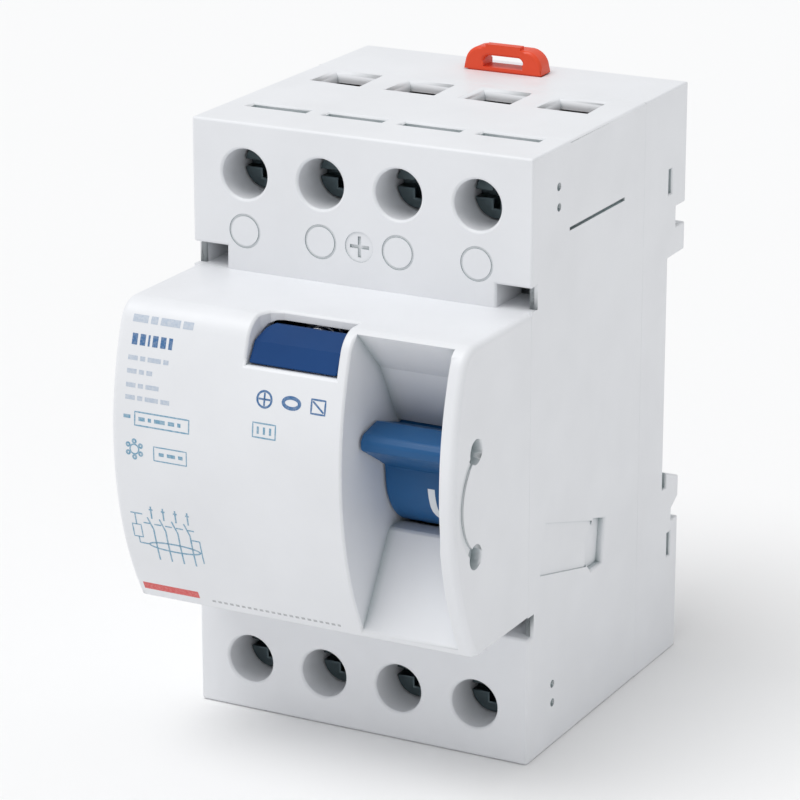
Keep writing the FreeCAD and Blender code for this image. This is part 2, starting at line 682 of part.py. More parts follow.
def make_contacts():
    bridges = []
    wires = []
    pads_top = "contact_top_z"
    bar_top = "contact_top_z - 0.6"
    bar_low = "contact_top_z - 2.1"
    for pole in POLES:
        x = pole_x(pole)
        left = f"{x} - strap_half_width"
        right = f"{x} + strap_half_width"
        line = fuse(
            f"line_contact_{pole}",
            box(f"line_riser_{pole}", (left, "strap_front_y", bar_low), (right, "strap_rear_y", "40.5")),
            box(f"line_bar_{pole}", (left, "-27", bar_low), (right, "strap_front_y + 0.5", bar_top)),
            cylinder(f"line_tip_{pole}", (x, "line_contact_y", bar_top), "Z", "1.6", "0.6"))
        node(line, f"line_contact_{pole}")
        load = fuse(
            f"load_contact_{pole}",
            box(f"load_riser_{pole}", (left, "-38.6", "-5"), (right, "-37.1", bar_top)),
            box(f"load_bar_{pole}", (left, "-38.6", bar_low), (right, "-33", bar_top)),
            cylinder(f"load_tip_{pole}", (x, "load_contact_y", bar_top), "Z", "1.6", "0.6"))
        node(load, f"load_contact_{pole}")
        bridge = fuse(
            f"contact_bridge_{pole}",
            box(f"bridge_{pole}", (f"{x} - 2.2", "-37", f"{pads_top} + 0.6"),
                (f"{x} + 2.2", "-23", f"{pads_top} + 1.6")),
            cylinder(f"bridge_line_tip_{pole}", (x, "line_contact_y", pads_top), "Z", "1.5", "0.7"),
            cylinder(f"bridge_load_tip_{pole}", (x, "load_contact_y", pads_top), "Z", "1.5", "0.7"))
        bridges.append(bridge)
        terminal = box(f"load_terminal_{pole}", (left, "strap_front_y", "-42.3"),
                       (right, "strap_rear_y", "-17.8"))
        node(terminal, f"load_terminal_{pole}")
        hole_x = f"pole_wire_pitch * {pole - 2.5}"
        wires.append(rod(f"pole_wire_{pole}", (
            (x, "-37.1", "-3.5"), (x, "-35", "-3.5"), (hole_x, "ring_y", "-3.5"),
            (hole_x, "ring_y", "-19"), (x, "-17.2", "-19"), (x, "strap_rear_y", "-19")),
            "pole_wire_r"))
    node(group("moving_contacts", *bridges), "moving_contacts")
    node(group("pole_wires", *wires), "pole_wires")
    springs = []
    for pole in POLES:
        springs.append(coil(f"contact_spring_{pole}", (pole_x(pole), "carrier_y", "6.15"), "Z",
                            "1.5", "0.3", "5.4", 4))
    node(group("contact_springs", *springs), "contact_springs")


def make_contact_carrier():
    """Comb that carries the four bridges, with a yoke that the crank pin drives."""
    pieces = [box("carrier_roof", ("-22.5", "-32", "12"), ("22.5", "-28", "13.5"))]
    for pole in POLES:
        x = pole_x(pole)
        for side, (inner, outer) in enumerate((("2.5", "3.6"), ("-3.6", "-2.5"))):
            pieces.append(box(f"carrier_leg_{pole}_{side}", (f"{x} + {inner}", "-32", "2.4"),
                              (f"{x} + {outer}", "-28", "12.5")))
        pieces.append(box(f"carrier_sill_{pole}", (f"{x} - 3.6", "-32", "2.4"),
                          (f"{x} + 3.6", "-28", "3.9")))
    pieces.append(box("carrier_arm", ("10.6", "-44.6", "10.5"), ("13.6", "-28", "13.5")))
    pieces.append(box("carrier_yoke", ("10.6", "-44.6", "-5"), ("13.6", "-40.6", "12")))
    solid = fuse("carrier_solid", *pieces)
    pin_z = "pivot_z - crank_radius * sin(throw_half)"
    slot = box("carrier_slot", ("10", "-43.9", f"{pin_z} - crank_pin_r - 0.06"),
               ("14", "-41.1", f"{pin_z} + crank_pin_r + 0.06"))
    node(cut("contact_carrier", solid, slot), "contact_carrier")
    ribs = [box("barrier_plate", ("-24.4", "-17.9", "0"), ("24.4", "-16.9", "18"))]
    for number, x in enumerate(("-pole_pitch", "0", "pole_pitch")):
        ribs.append(box(f"barrier_rib_{number}", (f"{x} - 0.5", "-27.5", "-1"),
                        (f"{x} + 0.5", "-17.5", "11")))
    node(fuse("arc_barrier", *ribs), "arc_barrier")


# ---------------------------------------------------------------- terminal screws and lift clamps

def make_terminals():
    for side, screw_z in (("line", "line_screw_z"), ("load", "load_screw_z")):
        for pole in POLES:
            x = pole_x(pole)
            name = f"{side}_screw_{pole}"
            head = cylinder(name + "_head", (x, "screw_head_front_y", screw_z), "Y",
                            "screw_head_r", "screw_head_rear_y - screw_head_front_y")
            shank = cylinder(name + "_shank", (x, "screw_head_rear_y - 0.2", screw_z), "Y",
                             "screw_shank_r", "screw_tip_y - screw_head_rear_y + 0.2")
            slot = box(name + "_slot", (f"{x} - 3.5", "screw_head_front_y - 0.1", f"{screw_z} - 0.5"),
                       (f"{x} + 3.5", "screw_head_front_y + screw_slot_depth", f"{screw_z} + 0.5"))
            cross = box(name + "_cross", (f"{x} - 0.5", "screw_head_front_y - 0.1", f"{screw_z} - 1.9"),
                        (f"{x} + 0.5", "screw_head_front_y + screw_slot_depth", f"{screw_z} + 1.9"))
            node(cut(name, fuse(name + "_solid", head, shank), slot, cross), name)
            name = f"{side}_clamp_{pole}"
            block = box(name + "_block",
                        (f"{x} - clamp_half_width", "clamp_front_y", f"{screw_z} - clamp_half_height"),
                        (f"{x} + clamp_half_width", "clamp_rear_y", f"{screw_z} + clamp_half_height"))
            mouth = box(name + "_mouth",
                        (f"{x} - clamp_half_width + 1", "clamp_nut_y", f"{screw_z} - 6"),
                        (f"{x} + clamp_half_width - 1", "clamp_jaw_y", f"{screw_z} + 6"))
            bore = cylinder(name + "_bore", (x, "clamp_front_y - 0.5", screw_z), "Y", "clamp_bore_r",
                            "clamp_nut_y - clamp_front_y + 1")
            node(cut(name, block, mouth, bore), name)


# ---------------------------------------------------------------- summation transformer and release

def ring(name, low_z, high_z, inner, outer):
    solid = cylinder(name + "_outer", ("0", "ring_y", low_z), "Z", outer, f"({high_z}) - ({low_z})")
    hole = cylinder(name + "_inner", ("0", "ring_y", f"({low_z}) - 1"), "Z", inner,
                    f"({high_z}) - ({low_z}) + 2")
    return cut(name, solid, hole)


def make_transformer():
    shell = ring("case_shell", "ring_bottom_z", "ring_top_z - 0.8", "ring_inner_r", "ring_outer_r")
    trough = ring("case_trough", "ring_bottom_z + 0.8", "ring_top_z", "ring_inner_r + 0.8",
                  "ring_outer_r - 0.8")
    node(cut("transformer_case", shell, trough), "transformer_case")
    node(ring("transformer_core", "ring_bottom_z + 0.9", "ring_top_z - 0.9", "ring_inner_r + 0.9",
              "ring_outer_r - 0.9"), "transformer_core")
    node(ring("transformer_lid", "ring_top_z - 0.8", "ring_top_z", "ring_inner_r", "ring_outer_r"),
         "transformer_lid")
    turns = []
    for number in range(11):
        name = f"turn_{number}"
        outer = box(name + "_outer", ("-0.25", "-ring_outer_r - 0.6", "ring_bottom_z - 0.55"),
                    ("0.25", "-ring_inner_r + 0.6", "ring_top_z + 0.55"))
        inner = box(name + "_inner", ("-1", "-ring_outer_r - 0.02", "ring_bottom_z - 0.02"),
                    ("1", "-ring_inner_r + 0.02", "ring_top_z + 0.02"))
        loop = cut(name, outer, inner)
        loop.Placement = FreeCAD.Placement(
            FreeCAD.Vector(0, size("ring_y"), 0),
            FreeCAD.Rotation(FreeCAD.Vector(0, 0, 1), (number - 5) * 9))
        turns.append(loop)
    node(group("secondary_winding", *turns), "secondary_winding")
    lead = rod("secondary_lead", (("-8.6", "-22.2", "-12"), ("-16", "-30", "-12"),
                                  ("-16", "-47", "-12")), "0.5")
    node(lead, "secondary_lead")


def make_release():
    case = box("relay_case", ("-22.5", "-61", "-17"), ("-4.5", "-47", "-0.5"))
    rounded = doc.addObject("Part::Fillet", "relay_rounded")
    rounded.Base = case
    doc.recompute()
    rounded.Edges = [(number, 0.8, 0.8) for number in range(1, 13)]
    bore = cylinder("relay_bore", ("-8", "-53", "-9"), "Y", "1.06", "7")
    node(cut("trip_relay", rounded, bore), "trip_relay")
    stem = cylinder("plunger_stem", ("-8", "-52.6", "-9"), "Y", "1", "8")
    node(stem, "relay_plunger")
    shaft = cylinder("trip_shaft", ("-10.5", "trip_y", "trip_z"), "X", "1.6", "32")
    arm = box("trip_arm", ("-9.4", "-43.4", "trip_z"), ("-6.6", "-41.6", "-7.5"))
    latch = box("trip_latch", ("10.6", "-43.4", "trip_z"), ("13.6", "-41.6", "-5.5"))
    bore = cylinder("trip_bore", ("-11", "trip_y", "trip_z"), "X", "0.86", "33")
    node(cut("trip_lever", fuse("trip_solid", shaft, arm, latch), bore), "trip_lever")
    node(cylinder("trip_lever_pin", ("-12.4", "trip_y", "trip_z"), "X", "0.8", "35.8"),
         "trip_lever_pin")
    node(coil("trip_lever_spring", ("15", "trip_y", "trip_z"), "X", "2.4", "0.35", "4.4", 5),
         "trip_lever_spring")
    frame = fuse(
        "frame_solid",
        box("frame_floor", ("-22.5", "-46", "-18"), ("23.4", "-39.2", "-17")),
        box("frame_shelf", ("-22.5", "-60", "-18"), ("-4.5", "-45", "-17")),
        box("frame_left", ("-12.4", "-46", "-17.5"), ("-11.4", "-39.2", "-10")),
        box("frame_right", ("22.4", "-46", "-17.5"), ("23.4", "-39.2", "-10")))
    holes = cylinder("frame_holes", ("-13", "trip_y", "trip_z"), "X", "0.8", "37")
    node(cut("mechanism_frame", frame, holes), "mechanism_frame")


# ---------------------------------------------------------------- test circuit

def make_test_circuit():
    body = new_body("test_button")
    gap = "button_gap"
    left = f"window_left_x + {gap}"
    low = f"window_bottom_z + {gap}"
    high = f"window_top_z - {gap}"
    cap = sketch(body, "YZ", left, (
        ("-61.5", low), ("-66.9", low), ("-65.2", "18.4"), ("-62", high), ("-61.5", high)))
    pad(body, cap, f"window_right_x - window_left_x - 2 * {gap}")
    corner = sketch(body, "XZ", "-70", (
        (f"{left} - 1", f"{high} - window_corner"), (left, f"{high} - window_corner"),
        (f"{left} + 0.3 * window_corner", f"{high} - 0.3 * window_corner"),
        (f"{left} + window_corner", high), (f"{left} + window_corner", f"{high} + 1"),
        (f"{left} - 1", f"{high} + 1")))
    pocket(body, corner, "10")
    lip = sketch(body, "XZ", "-65.2", rectangle("-6.8", "14.6", "8", f"{low} + 0.3"))
    pad(body, lip, "3.7", backwards=True)
    stem = sketch(body, "XZ", "-62", ("button_x", "button_z", "1.5"))
    pad(body, stem, "12.4", backwards=True)
    node(coil("test_button_spring", ("button_x", "-61.1", "button_z"), "Y", "2.1", "0.3", "7.5", 5),
         "test_button_spring")
    leaf = fuse("leaf", box("leaf_blade", ("-1.5", "-47.75", "4"), ("4", "-47.35", "19")),
                box("leaf_foot", ("-1.5", "-47.75", "4"), ("4", "-45.9", "4.4")))
    node(leaf, "test_contact")
    resistor = fuse("resistor", cylinder("resistor_body", ("-16", "-52", "3.5"), "X", "1.8", "9"),
                    cylinder("resistor_leads", ("-20", "-52", "3.5"), "X", "0.35", "17"))
    node(resistor, "test_resistor")
    lead = rod("test_lead", (("-3", "-52", "3.5"), ("1.2", "-52", "3.5"), ("1.2", "-49", "5.5"),
                             ("1.2", "-47.75", "5.5")), "0.35")
    node(lead, "test_lead")


# ---------------------------------------------------------------- rail clip

def make_rail_clip():
    body = new_body("rail_clip")
    strip = sketch(body, "XZ", "-1.25", rectangle("-clip_half", "18.2", "clip_half", "top_z + 0.5"))
    pad(body, strip, "2.3", backwards=True)
    tab = sketch(body, "XZ", "-1.4", rectangle(
        "-clip_tab_half", "top_z + 0.1", "clip_tab_half", "clip_tab_top_z - ridge"))
    pad(body, tab, "3.2", backwards=True)
    crown = size("clip_tab_top_z - ridge")
    round_edges(body, "2.7", lambda p, e: near(p.z, crown) and near(abs(p.x), size("clip_tab_half")))
    grip = sketch(body, "XZ", "-1.4", rectangle(
        "-2.8", "clip_tab_top_z - ridge - 0.2", "2.8", "clip_tab_top_z"))
    pad(body, grip, "1.4", backwards=True)
    hole = sketch(body, "XZ", "-2", rectangle("-3.2", "top_z + 0.6", "3.2", "45.3"))
    pocket(body, hole, "5")
    round_edges(body, "0.9", lambda p, e: near(p.z, 45.3) and near(abs(p.x), 3.2))
    window = sketch(body, "XZ", "-2", rectangle("-2.2", "26", "2.2", "41.5"))
    pocket(body, window, "4")
    catch = sketch(body, "YZ", "-clip_half", (
        ("-1.25", "18.2"), ("hook_gap_y", "18.2"), ("hook_gap_y", "15.9"), ("2.2", "15.9"),
        ("5.2", "18.6"), ("5.2", "21.8"), ("-1.25", "21.8")))
    pad(body, catch, "2 * clip_half")
    node(coil("rail_clip_spring", ("0", "-0.1", "26.35"), "Z", "0.75", "0.25", "7.8", 6),
         "rail_clip_spring")


# ---------------------------------------------------------------- build, check and write

def check_and_write():
    doc.recompute()
    for thing in doc.Objects:
        if "Invalid" in thing.State or "Error" in thing.State:
            raise ValueError(f"{thing.Label} failed: {thing.State}")
    os.makedirs("parts", exist_ok=True)
    for piece in nodes:
        if piece.Shape.isNull() or not piece.Shape.isValid():
            raise ValueError(f"{piece.Label} has no valid shape")
        piece.Shape.exportStep(f"parts/{piece.Label}.step")
        print(f"{piece.Label:22s} {len(piece.Shape.Solids)} solids {piece.Shape.Volume:9.1f} mm3")
    print(len(nodes), "nodes")


make_base_housing()
make_housing_body()
make_terminal_front("terminal_front_lower", "nose_bottom_z", "bottom_z", "load_screw_z", "-")
upper_front = make_terminal_front("terminal_front_upper", "nose_top_z", "top_z", "line_screw_z", "+")
mark_upper_front(upper_front)
make_front_cover()
make_toggle()
make_contacts()
make_contact_carrier()
make_terminals()
make_transformer()
make_release()
make_test_circuit()
make_rail_clip()
check_and_write()
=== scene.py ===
import json
import math

import bmesh
import bpy
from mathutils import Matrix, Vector
from mathutils.bvhtree import BVHTree


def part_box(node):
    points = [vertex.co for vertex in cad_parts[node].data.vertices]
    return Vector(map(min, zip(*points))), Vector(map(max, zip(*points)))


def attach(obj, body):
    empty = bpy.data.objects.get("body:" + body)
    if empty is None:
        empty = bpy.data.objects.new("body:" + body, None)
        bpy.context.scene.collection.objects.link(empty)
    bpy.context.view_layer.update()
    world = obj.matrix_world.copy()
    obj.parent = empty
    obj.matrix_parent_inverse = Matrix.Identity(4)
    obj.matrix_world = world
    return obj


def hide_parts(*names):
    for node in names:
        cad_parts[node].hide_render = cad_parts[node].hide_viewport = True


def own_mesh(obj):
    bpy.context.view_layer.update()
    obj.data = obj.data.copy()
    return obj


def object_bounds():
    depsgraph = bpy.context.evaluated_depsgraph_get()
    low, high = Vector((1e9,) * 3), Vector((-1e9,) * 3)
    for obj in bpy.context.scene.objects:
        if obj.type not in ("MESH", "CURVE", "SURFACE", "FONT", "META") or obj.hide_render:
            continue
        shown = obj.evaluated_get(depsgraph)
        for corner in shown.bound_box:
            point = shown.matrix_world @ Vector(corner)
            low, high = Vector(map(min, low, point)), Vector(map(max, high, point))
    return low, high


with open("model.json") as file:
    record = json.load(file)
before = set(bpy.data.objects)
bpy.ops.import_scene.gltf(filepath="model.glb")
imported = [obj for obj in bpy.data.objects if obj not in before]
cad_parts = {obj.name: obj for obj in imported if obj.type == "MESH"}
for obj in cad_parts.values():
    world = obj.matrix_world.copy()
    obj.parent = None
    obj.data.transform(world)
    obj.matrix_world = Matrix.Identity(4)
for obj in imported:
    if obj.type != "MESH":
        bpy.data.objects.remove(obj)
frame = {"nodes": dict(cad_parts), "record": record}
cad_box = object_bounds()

# The looks of a four-pole residual current device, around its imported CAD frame.
# +X is right seen from the front, +Y is to the rear, +Z is up. Lengths are metres unless a name
# or a note says millimetres, which MM turns into metres.

MM = 0.001
POLES = (1, 2, 3, 4)
SIDES = ("line", "load")


# ---------------------------------------------------------------- places read from the frame

body_low, body_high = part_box("housing_body")
cover_low, cover_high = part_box("front_cover")
axle_low, axle_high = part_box("toggle_axle")

seam_behind_nose = body_low.y
seam_behind_body = body_high.y
seam_behind_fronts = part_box("terminal_front_upper")[1].y
pivot = (axle_low + axle_high) / 2


# ---------------------------------------------------------------- nodes shared by the materials

def colour_mix(tree, dark, light, factor):
    """A colour that runs from dark to light."""
    mix = tree.nodes.new("ShaderNodeMix")
    mix.data_type = "RGBA"
    mix.inputs["A"].default_value = (*dark, 1.0)
    mix.inputs["B"].default_value = (*light, 1.0)
    tree.links.new(factor, mix.inputs["Factor"])
    return mix.outputs["Result"]


def remap(tree, value, low, high, start=0.35, end=0.65):
    """Stretch a value from start to end, by default a noise's middle, to the range low to high."""
    node = tree.nodes.new("ShaderNodeMapRange")
    node.inputs["From Min"].default_value = start
    node.inputs["From Max"].default_value = end
    node.inputs["To Min"].default_value = low
    node.inputs["To Max"].default_value = high
    tree.links.new(value, node.inputs["Value"])
    return node.outputs["Result"]


def noise(tree, per_metre, detail=3.0, stretch=(1.0, 1.0, 1.0)):
    """Noise fixed to the object, with about per_metre blobs in a metre."""
    place = tree.nodes.new("ShaderNodeTexCoord")
    mapping = tree.nodes.new("ShaderNodeMapping")
    mapping.inputs["Scale"].default_value = stretch
    texture = tree.nodes.new("ShaderNodeTexNoise")
    texture.inputs["Scale"].default_value = per_metre
    texture.inputs["Detail"].default_value = detail
    tree.links.new(place.outputs["Object"], mapping.inputs["Vector"])
    tree.links.new(mapping.outputs["Vector"], texture.inputs["Vector"])
    return texture.outputs["Fac"]


def turned_rings(tree, per_size):
    """Fine rings round the middle of a turned piece's face, as a lathe leaves them."""
    place = tree.nodes.new("ShaderNodeTexCoord")
    flat = tree.nodes.new("ShaderNodeMapping")
    flat.inputs["Location"].default_value = (-0.5, 0.0, -0.5)
    flat.inputs["Scale"].default_value = (1.0, 0.0, 1.0)
    length = tree.nodes.new("ShaderNodeVectorMath")
    length.operation = "LENGTH"
    texture = tree.nodes.new("ShaderNodeTexNoise")
    texture.noise_dimensions = "1D"
    texture.inputs["Scale"].default_value = per_size
    tree.links.new(place.outputs["Generated"], flat.inputs["Vector"])
    tree.links.new(flat.outputs["Vector"], length.inputs[0])
    tree.links.new(length.outputs["Value"], texture.inputs["W"])
    return texture.outputs["Fac"]


def bump(tree, shader, *layers):
    """Bump layers, each a height and the depth that it stands for in metres."""
    last = None
    for height, depth in layers:
        node = tree.nodes.new("ShaderNodeBump")
        node.inputs["Distance"].default_value = depth
        tree.links.new(height, node.inputs["Height"])
        if last is not None:
            tree.links.new(last, node.inputs["Normal"])
        last = node.outputs["Normal"]
    tree.links.new(last, shader.inputs["Normal"])


def uneven_roughness(tree, shader, marks, roughness, smoother, rougher):
    """A roughness that wanders about its value with a noise."""
    tree.links.new(remap(tree, marks, roughness - smoother, roughness + rougher),
                   shader.inputs["Roughness"])


def shades(colour, amount):
    """A darker and a lighter shade of a colour."""
    dark = [c * (1 - amount) for c in colour]
    light = [min(1.0, c * (1 + amount)) for c in colour]
    return dark, light


def start_material(name, colour, roughness, metallic):
    material = bpy.data.materials.new(name)
    material.use_nodes = True
    material.diffuse_color = (*colour, 1.0)
    tree = material.node_tree
    shader = tree.nodes["Principled BSDF"]
    shader.inputs["Base Color"].default_value = (*colour, 1.0)
    shader.inputs["Roughness"].default_value = roughness
    shader.inputs["Metallic"].default_value = metallic
    return material, tree, shader


# ---------------------------------------------------------------- plastics

# Noise scales are blobs in a metre.
FLOW_CLOUDS = 70
GLOSS_PATCHES = 260
SINK_WAVES = 90
MOULD_GRAIN = 5200

# Painted shade in slots and holes: how far the occlusion looks, where its darkening is full and
# where it ends.
RECESS_REACH = 3 * MM
RECESS_SHUT = 0.25
RECESS_OPEN = 0.80
AO_SAMPLES = 4


def shade_slots_and_holes(tree, surface, recess_shade_colour):
    """Painted shade: the surface's colour turns to a dark shade colour in slots and holes, where
    the object's own ambient occlusion is low.
    """
    openness = tree.nodes.new("ShaderNodeAmbientOcclusion")
    openness.samples = AO_SAMPLES
    openness.only_local = True
    openness.inputs["Distance"].default_value = RECESS_REACH
    mix = tree.nodes.new("ShaderNodeMix")
    mix.data_type = "RGBA"
    mix.inputs["A"].default_value = (*recess_shade_colour, 1.0)
    tree.links.new(surface, mix.inputs["B"])
    tree.links.new(remap(tree, openness.outputs["AO"], 0, 1, RECESS_SHUT, RECESS_OPEN),
                   mix.inputs["Factor"])
    return mix.outputs["Result"]


def moulded_plastic(name, colour, roughness, variation=0.02, grain=3e-6, wave=1.5e-5,
                    gloss=0.5, recess_shade_colour=None):
    """Injection-moulded plastic: faint flow clouds, an eroded mould's fine grain, slight sink, and,
    given a shade colour, painted shade in slots and holes.
    """
    material, tree, shader = start_material(name, colour, roughness, 0.0)
    dark, light = shades(colour, variation)
    clouds = remap(tree, noise(tree, FLOW_CLOUDS, detail=4.0), 0, 1)
    surface = colour_mix(tree, dark, light, clouds)
    # Painted shade: the colour darkens in slots and holes.
    if recess_shade_colour is not None:
        surface = shade_slots_and_holes(tree, surface, recess_shade_colour)
    tree.links.new(surface, shader.inputs["Base Color"])
    patches = noise(tree, GLOSS_PATCHES, detail=2.0)
    uneven_roughness(tree, shader, patches, roughness, smoother=0.04, rougher=0.05)
    shader.inputs["Specular IOR Level"].default_value = gloss
    fine = noise(tree, MOULD_GRAIN, detail=2.0)
    broad = noise(tree, SINK_WAVES, detail=1.0)
    bump(tree, shader, (fine, grain), (broad, wave))
    return material


# ---------------------------------------------------------------- metals

PLATING_PATCHES = 500
TOOL_MARKS = 2400
TOOL_MARK_DEPTH = 6e-6
LATHE_RINGS = 40.0


def metal(name, colour, roughness, scratches=(1.0, 1.0, 1.0), variation=0.08, turned=False):
    """Plated or bare metal with drawn or turned marks and uneven plating."""
    material, tree, shader = start_material(name, colour, roughness, 1.0)
    dark, light = shades(colour, variation)
    plating = remap(tree, noise(tree, PLATING_PATCHES), 0, 1)
    tree.links.new(colour_mix(tree, dark, light, plating), shader.inputs["Base Color"])
    if turned:
        marks = turned_rings(tree, LATHE_RINGS)
    else:
        marks = noise(tree, TOOL_MARKS, stretch=scratches)
    uneven_roughness(tree, shader, marks, roughness, smoother=0.08, rougher=0.10)
    bump(tree, shader, (marks, TOOL_MARK_DEPTH))
    return material


# ---------------------------------------------------------------- inks

INK_SPECKS = 3000
INK_GRAIN = 6000
INK_GRAIN_DEPTH = 2e-6
INK_ROUGHNESS = 0.5
UNDER_INK = 0.8


def ink(name, colour, wear=0.18):
    """Pad-printed ink, slightly uneven, over white plastic."""
    material, tree, shader = start_material(name, colour, INK_ROUGHNESS, 0.0)
    faded = [c + (UNDER_INK - c) * wear for c in colour]
    specks = remap(tree, noise(tree, INK_SPECKS), 0, 1)
    tree.links.new(colour_mix(tree, colour, faded, specks), shader.inputs["Base Color"])
    bump(tree, shader, (noise(tree, INK_GRAIN), INK_GRAIN_DEPTH))
    return material


# ---------------------------------------------------------------- the set of materials

PLASTICS = {
    # The housing's third colour is painted shade for its slots and holes.
    "housing_white": dict(colour=(0.800, 0.812, 0.838), roughness=0.42, recess_shade_colour=(0.30, 0.37, 0.38)),
    "toggle_blue": dict(colour=(0.012, 0.094, 0.252), roughness=0.42, variation=0.06, gloss=0.35),
    "button_blue": dict(colour=(0.003, 0.045, 0.170), roughness=0.40, variation=0.06, grain=1e-6,
                        gloss=0.2),
    "clip_orange": dict(colour=(0.780, 0.062, 0.013), roughness=0.38, variation=0.06),
    "inner_plastic": dict(colour=(0.050, 0.052, 0.058), roughness=0.55, variation=0.15, grain=6e-6),
    "resistor_ceramic": dict(colour=(0.52, 0.36, 0.20), roughness=0.50, variation=0.10, grain=6e-6),
}
METALS = {
    "screw_steel": dict(colour=(0.10, 0.13, 0.14), roughness=0.36, turned=True),
    "clamp_steel": dict(colour=(0.56, 0.57, 0.56), roughness=0.38, scratches=(0.15, 1.0, 1.0)),
    "spring_steel": dict(colour=(0.42, 0.42, 0.44), roughness=0.30, scratches=(1.0, 1.0, 0.3)),
    "copper": dict(colour=(0.72, 0.33, 0.17), roughness=0.34, scratches=(1.0, 0.2, 1.0),
                   variation=0.16),
    "core_metal": dict(colour=(0.38, 0.39, 0.41), roughness=0.42, scratches=(0.1, 0.1, 3.0)),
}
MATERIALS = {name: moulded_plastic(name, **look) for name, look in PLASTICS.items()}
MATERIALS.update({name: metal(name, **look) for name, look in METALS.items()})

NAVY_INK = ink("ink_navy", (0.030, 0.135, 0.330))
BLUE_INK = ink("ink_blue", (0.130, 0.320, 0.470), 0.30)
PALE_INK = ink("ink_pale", (0.470, 0.540, 0.640), 0.30)
RED_INK = ink("ink_red", (0.660, 0.075, 0.070), 0.15)
GREY_INK = ink("ink_grey", (0.420, 0.430, 0.450), 0.25)
WHITE_INK = ink("ink_white", (0.800, 0.830, 0.860), 0.05)


def dress(piece, material):
    piece.data.materials.clear()
    piece.data.materials.append(material)


# ---------------------------------------------------------------- pieces made from the CAD shapes

WELD = 0.002 * MM
FLAT_DEGREES = 0.6
SHARP_DEGREES = 32.0
PROBE = 0.02 * MM
SLACK = 0.02 * MM
FINE_DETAIL = 8.0 * MM
ROOM_IN_WIDTHS = 2.2
FOLDED_FLAT = 0.1
BEVEL_SEGMENTS = 2


def piece_from(shape, name, body, slot):
    """Turn a bmesh into a named piece that rides on a body."""
    mesh = bpy.data.meshes.new(name)
    shape.to_mesh(mesh)
    shape.free()
    piece = bpy.data.objects.new(name, mesh)
    bpy.context.scene.collection.objects.link(piece)
    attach(piece, body)
    dress(piece, MATERIALS[slot])
    return piece


def smooth(piece):
    """Smooth shading, except over edges that are sharp."""
    for polygon in piece.data.polygons:
        polygon.use_smooth = True
    piece.data.set_sharp_from_angle(angle=math.radians(SHARP_DEGREES))


def clean_copy(node):
    """A CAD node's mesh with shared corners and flat faces in one piece."""
    shape = bmesh.new()
    shape.from_mesh(frame["nodes"][node].data)
    bmesh.ops.remove_doubles(shape, verts=shape.verts[:], dist=WELD)
    bmesh.ops.dissolve_limit(shape, angle_limit=math.radians(FLAT_DEGREES), verts=shape.verts[:],
                             edges=shape.edges[:])
    return shape


def open_edge(edge, surface):
    """True for an outward edge that can be seen from outside."""
    if len(edge.link_faces) != 2 or not edge.is_convex:
        return False
    outward = edge.link_faces[0].normal + edge.link_faces[1].normal
    if outward.length < FOLDED_FLAT:
        return False
    outward.normalize()
    middle = (edge.verts[0].co + edge.verts[1].co) / 2
    return surface.ray_cast(middle + outward * PROBE, outward)[0] is None


def room_for(edge, width):
    """True where the faces on both sides of an edge are wide enough to be rounded."""
    needed = ROOM_IN_WIDTHS * width * edge.calc_length()
    return all(face.calc_area() > needed for face in edge.link_faces)


def weigh_edges(shape, width, share_of):
    """Give each open edge its share of the rounding's width, away from fine detail."""
    layer = shape.edges.layers.float.new("bevel_weight_edge")
    surface = BVHTree.FromBMesh(shape)
    sharp = [edge for edge in shape.edges
             if edge.calc_face_angle(0.0) > math.radians(SHARP_DEGREES)]
    fine = {vert for edge in sharp if not room_for(edge, width) for vert in edge.verts}
    for edge in sharp:
        crowded = any(vert in fine for vert in edge.verts) and edge.calc_length() < FINE_DETAIL
        if open_edge(edge, surface) and room_for(edge, width) and not crowded:
            edge[layer] = share_of(edge.verts[0].co, edge.verts[1].co)


def rounding(piece, width):
    """Round the weighted edges evenly, and keep the shading of flat faces flat."""
    modifier = piece.modifiers.new("rounding", "BEVEL")
    modifier.limit_method = "WEIGHT"
    modifier.width = width
    modifier.segments = BEVEL_SEGMENTS
    modifier.use_clamp_overlap = False
    modifier.loop_slide = False
    flats = piece.modifiers.new("flats", "WEIGHTED_NORMAL")
    flats.keep_sharp = True


def full_share(a, b):
    """The whole width, wherever the edge's ends a and b are."""
    return 1.0


def rounded_copy(name, node, body, slot, width, share_of=full_share):
    """A stand-in for a CAD node, the same shape with its open edges rounded."""
    shape = clean_copy(node)
    weigh_edges(shape, width, share_of)
    piece = piece_from(shape, name, body, slot)
    smooth(piece)
    rounding(piece, width)
    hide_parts(node)


def same(a, b):
    return abs(a - b) < SLACK


# ---------------------------------------------------------------- white shells

# An edge's share is the part of the rounding's width that it gets, from its two ends a and b.
EDGE_ROUND = 0.35 * MM
REAR_SHARE = 0.7
SEAM_SHARE = 0.12
NO_SHARE = 0.0


def on_seam(a, b, seam):
    return same(a.y, seam) and same(b.y, seam)


def beside_nose(a, b):
    """True for an edge that lies level with the nose's top or underside."""
    return any(same(a.z, level) and same(b.z, level) for level in (cover_low.z, cover_high.z))


def base_share(a, b):
    return SEAM_SHARE if on_seam(a, b, seam_behind_body) else REAR_SHARE


def body_share(a, b):
    if on_seam(a, b, seam_behind_body):
        return SEAM_SHARE
    if on_seam(a, b, seam_behind_fronts) or beside_nose(a, b):
        return NO_SHARE
    return SEAM_SHARE if on_seam(a, b, seam_behind_nose) else full_share(a, b)


def front_share(a, b):
    if on_seam(a, b, seam_behind_fronts) or beside_nose(a, b):
        return NO_SHARE
    return full_share(a, b)


def cover_share(a, b):
    return SEAM_SHARE if on_seam(a, b, seam_behind_nose) else full_share(a, b)


def white_shell(name, node, share_of):
    rounded_copy(name, node, "housing", "housing_white", EDGE_ROUND, share_of)


